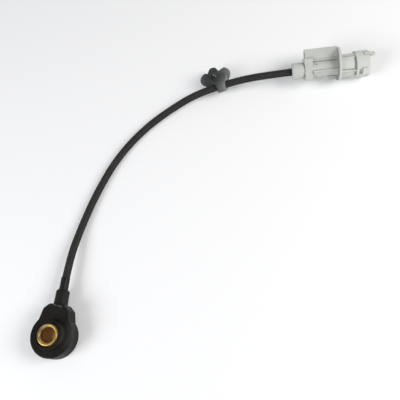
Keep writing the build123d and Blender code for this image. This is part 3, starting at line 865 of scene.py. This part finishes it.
def corner_round(centre, radius, start, end, steps=4):
    """Points of an arc in a profile, angles in degrees."""
    return [
        (
            centre[0] + radius * cos(radians(start + (end - start) * i / steps)),
            centre[1] + radius * sin(radians(start + (end - start) * i / steps)),
        )
        for i in range(steps + 1)
    ]


foot_round = 0.25 * mm
cone_round = 0.35 * mm
cone_shift = 0.1 * mm
cone_foot_in, cone_foot_down = 0.25 * mm, 0.02 * mm
bore_start_down = 0.35 * mm
sleeve_profile = [
    (bore_radius, foot_round),
    (bore_radius + foot_round, 0.0),
    *corner_round((flange_radius - foot_round, foot_round), foot_round, -90, 0),
    *corner_round((flange_radius - foot_round, flange_thickness - foot_round), foot_round, 0, 90),
    (sleeve_radius, flange_thickness),
    *corner_round((sleeve_radius - rim_round, sleeve_top - rim_round), rim_round, 0, 90),
    *corner_round((bore_radius + mouth_cone + cone_shift, sleeve_top - cone_round), cone_round, 90, 135),
    (bore_radius + cone_foot_in, sleeve_top - mouth_cone - cone_foot_down),
    (bore_radius, sleeve_top - mouth_cone - bore_start_down),
]
sleeve_mesh = turned("sleeve_turned", sleeve_profile, steps=128)
shade(sleeve_mesh, 50.0)
sleeve = as_piece(weigh_normals(sleeve_mesh, "sleeve_turned"), "sleeve_turned", brass)
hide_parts("brass_sleeve")
print("sleeve faces:", len(sleeve.data.polygons))

# %% [markdown]
# ## Rings on the hub
#
# Two fine raised rings run round the sleeve on the housing's top. Rings that differ only in radius
# are a job for Geometry Nodes: a line of points, one circle on each, scaled by its number, and a
# thin round section swept along all of them.

# %% Rings on the hub
ring_tree, taken, given = new_group(
    "spaced_rings",
    "GeometryNodeTree",
    [
        ("Count", "NodeSocketInt", 2),
        ("Radius", "NodeSocketFloat", 8.0 * mm),
        ("Radius Step", "NodeSocketFloat", 1.0 * mm),
        ("Height", "NodeSocketFloat", 0.0),
        ("Height Step", "NodeSocketFloat", 0.0),
        ("Thickness", "NodeSocketFloat", 0.1 * mm),
        ("Finish", "NodeSocketMaterial", None),
    ],
    [("Geometry", "NodeSocketGeometry")],
)
start = add_node(ring_tree, "ShaderNodeCombineXYZ", {2: taken.outputs["Height"]}).outputs[0]
offset = add_node(ring_tree, "ShaderNodeCombineXYZ", {2: taken.outputs["Height Step"]}).outputs[0]
points = add_node(
    ring_tree,
    "GeometryNodeMeshLine",
    {"Count": taken.outputs["Count"], "Start Location": start, "Offset": offset},
    mode="OFFSET",
)
circle = add_node(ring_tree, "GeometryNodeCurvePrimitiveCircle", {"Resolution": 128, "Radius": 1.0})
number = add_node(ring_tree, "GeometryNodeInputIndex").outputs[0]
step_out = math_node(ring_tree, "MULTIPLY", number, taken.outputs["Radius Step"])
wide = math_node(ring_tree, "ADD", taken.outputs["Radius"], step_out)
size = add_node(ring_tree, "ShaderNodeCombineXYZ", {0: wide, 1: wide, 2: 1.0}).outputs[0]
placed = add_node(
    ring_tree,
    "GeometryNodeInstanceOnPoints",
    {"Points": points.outputs["Mesh"], "Instance": circle.outputs["Curve"], "Scale": size},
)
loose = add_node(ring_tree, "GeometryNodeRealizeInstances", {"Geometry": placed.outputs["Instances"]})
section = add_node(
    ring_tree,
    "GeometryNodeCurvePrimitiveCircle",
    {"Resolution": 10, "Radius": taken.outputs["Thickness"]},
)
swept = add_node(
    ring_tree,
    "GeometryNodeCurveToMesh",
    {"Curve": loose.outputs["Geometry"], "Profile Curve": section.outputs["Curve"]},
)
real = add_node(ring_tree, "GeometryNodeRealizeInstances", {"Geometry": swept.outputs["Mesh"]})
painted = add_node(
    ring_tree,
    "GeometryNodeSetMaterial",
    {"Geometry": real.outputs["Geometry"], "Material": taken.outputs["Finish"]},
)
ring_tree.links.new(painted.outputs["Geometry"], given.inputs["Geometry"])


def grow(tree, name, **values):
    """The plain mesh that a Geometry Nodes tree makes with these inputs."""
    carrier = bpy.data.objects.new(name + "_carrier", bpy.data.meshes.new(name + "_seed"))
    bpy.context.scene.collection.objects.link(carrier)
    modifier = carrier.modifiers.new(name, "NODES")
    modifier.node_group = tree
    sockets = {item.name: item.identifier for item in tree.interface.items_tree if item.in_out == "INPUT"}
    for key, value in values.items():
        modifier[sockets[key.replace("_", " ")]] = value
    evaluated = carrier.evaluated_get(bpy.context.evaluated_depsgraph_get())
    mesh = bpy.data.meshes.new_from_object(evaluated)
    bpy.data.objects.remove(carrier)
    print(name, "faces:", len(mesh.polygons))
    return mesh


hub_ring_mesh = grow(
    ring_tree, "hub_rings", Count=2, Radius=8.0 * mm, Radius_Step=1.9 * mm, Height=15.17 * mm,
    Height_Step=-2.98 * mm, Thickness=0.1 * mm, Finish=black_nylon,
)
shade(hub_ring_mesh, 60.0)
hub_rings = as_piece(hub_ring_mesh, "hub_rings", black_nylon)
print("rings' finish:", hub_rings.data.materials[0].name)

# %% [markdown]
# ## Sleeve on the cable
#
# A short piece of shrink tube closes the joint between neck and cable. It hugs the cable, so its
# wall is one profile turned about the neck's axis: a small lip at the neck, a slight waist, and a
# rounded free end.

# %% Sleeve on the cable
tube_length = 7.6 * mm
tube_inner = cable_radius + 0.05 * mm
tube_outer = tube_inner + 0.3 * mm
tube_waist = ((0.0, 0.0), (0.6, 0.0), (1.4, 0.03), (3.2, 0.05), (5.2, 0.02), (6.6, 0.03))
tube_round = 0.14 * mm
tube_round_inset = 0.16 * mm
tube_bore_end = 0.03 * mm
tube_profile = [
    (tube_inner, 0.0),
    *((tube_outer - inset * mm, along * mm) for along, inset in tube_waist),
    *corner_round((tube_outer - tube_round_inset, tube_length - tube_round), tube_round, 0, 90, 3),
    (tube_inner, tube_length - tube_bore_end),
]
tube_mesh = turned("shrunk_sleeve", tube_profile, steps=48)
tube_mesh.transform(neck_frame)
shade(tube_mesh, 50.0)
shrunk_sleeve = as_piece(tube_mesh, "shrunk_sleeve", shrink_tube)
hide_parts("cable_sleeve")
print("sleeve ends at y:", round(neck_end.y + tube_length, 4))

# %% [markdown]
# ## Hidden pieces
#
# The sensing stack, the cores, the seal and the terminals keep their solids. They show only in the
# plug's mouth or when the housing is hidden, but each still gets the finish of its real material.

# %% Hidden pieces
kept_finishes = {
    "insulating_tube": clear_film,
    "lower_insulating_washer": clear_film,
    "upper_insulating_washer": clear_film,
    "lower_contact_disc": tinned_brass,
    "upper_contact_disc": tinned_brass,
    "piezo_ring": piezo_ceramic,
    "seismic_mass": steel,
    "disc_spring": spring_steel,
    "retaining_nut": steel,
    "sensor_core_a": core_red,
    "sensor_core_b": core_black,
    "plug_core_a": core_red,
    "plug_core_b": core_black,
    "cable_seal": seal_rubber,
    "terminal_a": tinned_brass,
    "terminal_b": tinned_brass,
    "terminal_lock": lock_nylon,
}
for node_name, material in kept_finishes.items():
    kept = frame["nodes"][node_name]
    kept.data.materials.clear()
    kept.data.materials.append(material)
print("kept nodes:", len(kept_finishes))

# %% [markdown]
#
# The cable stands for its CAD solid. It gets the jacket's finish and rides with the rest of the
# part, and its CAD solid is hidden.

cable_curve.materials.append(cable_jacket)
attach(cable_line, root)
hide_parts("cable")

# %% [markdown]
# ## Floor
#
# The part lies on a white table. The camera and shiny things see the table glow a little, so that
# it stays white without more light on the part. Under the bore that glow turns brown: a painted
# reflection of the tarnished wall, seen through the bore.

# %% Floor
floor_half = 4.0
floor_glow = 0.155
bore_reflection_tone = (0.70, 0.45, 0.22, 1.0)
white = (1.0, 1.0, 1.0, 1.0)
brown_to, white_from = 5 * mm, 10 * mm


def seen_directly(tree):
    """A mask of the rays from the camera and from shiny or clear things."""
    rays = add_node(tree, "ShaderNodeLightPath")
    seen = math_node(tree, "MAXIMUM", rays.outputs["Is Camera Ray"], rays.outputs["Is Glossy Ray"])
    return math_node(tree, "MAXIMUM", seen, rays.outputs["Is Transmission Ray"])


floor_mesh = bpy.data.meshes.new("floor")
corners = ((-1, -1), (1, -1), (1, 1), (-1, 1))
floor_mesh.from_pydata([(x * floor_half, y * floor_half, 0) for x, y in corners], [], [(0, 1, 2, 3)])
floor = bpy.data.objects.new("floor", floor_mesh)
bpy.context.scene.collection.objects.link(floor)
table_white = bpy.data.materials.new("table_white")
table_white.use_nodes = True
tree = table_white.node_tree
shader = tree.nodes["Principled BSDF"]
shader.inputs["Base Color"].default_value = (0.84, 0.845, 0.86, 1.0)
shader.inputs["Roughness"].default_value = 0.65
shader.inputs["Specular IOR Level"].default_value = 0.2
place = add_node(tree, "ShaderNodeTexCoord").outputs["Object"]
from_bore = add_node(tree, "ShaderNodeVectorMath", {0: place}, operation="LENGTH").outputs["Value"]
# Painted reflection: under the bore the glow takes the brown of the tarnished wall.
outside = ramp(tree, from_bore, brown_to, white_from)
tree.links.new(blend_colours(tree, outside, bore_reflection_tone, white), shader.inputs["Emission Color"])
glow = math_node(tree, "MULTIPLY", seen_directly(tree), floor_glow)
tree.links.new(glow, shader.inputs["Emission Strength"])
floor_mesh.materials.append(table_white)
print("floor:", 2 * floor_half, "m across")

# %% [markdown]
# ## Lamps and sky
#
# Two soft lamps, one to the right and one low on the left, throw the two pale shadows of the photo.
# A larger lamp gives a softer shadow. A plain sky fills the rest. It is white near the horizon,
# where it is the background, and dimmer above, so that the dark mouldings keep their depth.

# %% Lamps
aim = Vector((0.09, 0.09, 0.0))


def soft_lamp(name, place, size, power, colour):
    """A square lamp that faces the part."""
    data = bpy.data.lights.new(name, "AREA")
    data.shape = "SQUARE"
    data.size = size
    data.energy = power
    data.color = colour
    lamp = bpy.data.objects.new(name, data)
    lamp.location = place
    lamp.rotation_euler = (aim - Vector(place)).to_track_quat("-Z", "Y").to_euler()
    bpy.context.scene.collection.objects.link(lamp)
    return lamp


right_lamp = soft_lamp("right_lamp", (0.72, 0.12, 0.50), 0.40, 4.45, (1.0, 0.985, 0.96))
left_lamp = soft_lamp("left_lamp", (-0.45, -0.33, 0.50), 0.42, 3.8, (0.97, 0.985, 1.0))
print("lamps:", right_lamp.name, left_lamp.name)

# %% Sky
sky_light = 0.28
sky_horizon, sky_overhead = 1.0, 0.14
horizon_ends, overhead_starts = 0.2, 0.75

sky = bpy.data.worlds.new("sky")
sky.use_nodes = True
bpy.context.scene.world = sky
tree = sky.node_tree
direction = add_node(tree, "ShaderNodeTexCoord").outputs["Generated"]
height = add_node(tree, "ShaderNodeSeparateXYZ", {0: direction}).outputs["Z"]
backdrop = ramp(tree, height, horizon_ends, overhead_starts, sky_horizon, sky_overhead)
shares = {0: seen_directly(tree), 2: sky_light, 3: backdrop}
strength = add_node(tree, "ShaderNodeMix", shares, data_type="FLOAT").outputs[0]
tree.links.new(strength, tree.nodes["Background"].inputs["Strength"])
tree.nodes["Background"].inputs["Color"].default_value = white
print("sky light:", sky_light)

# %% [markdown]
# ## Final update
#
# The scene is brought up to date.

# %% Final update
bpy.context.view_layer.update()
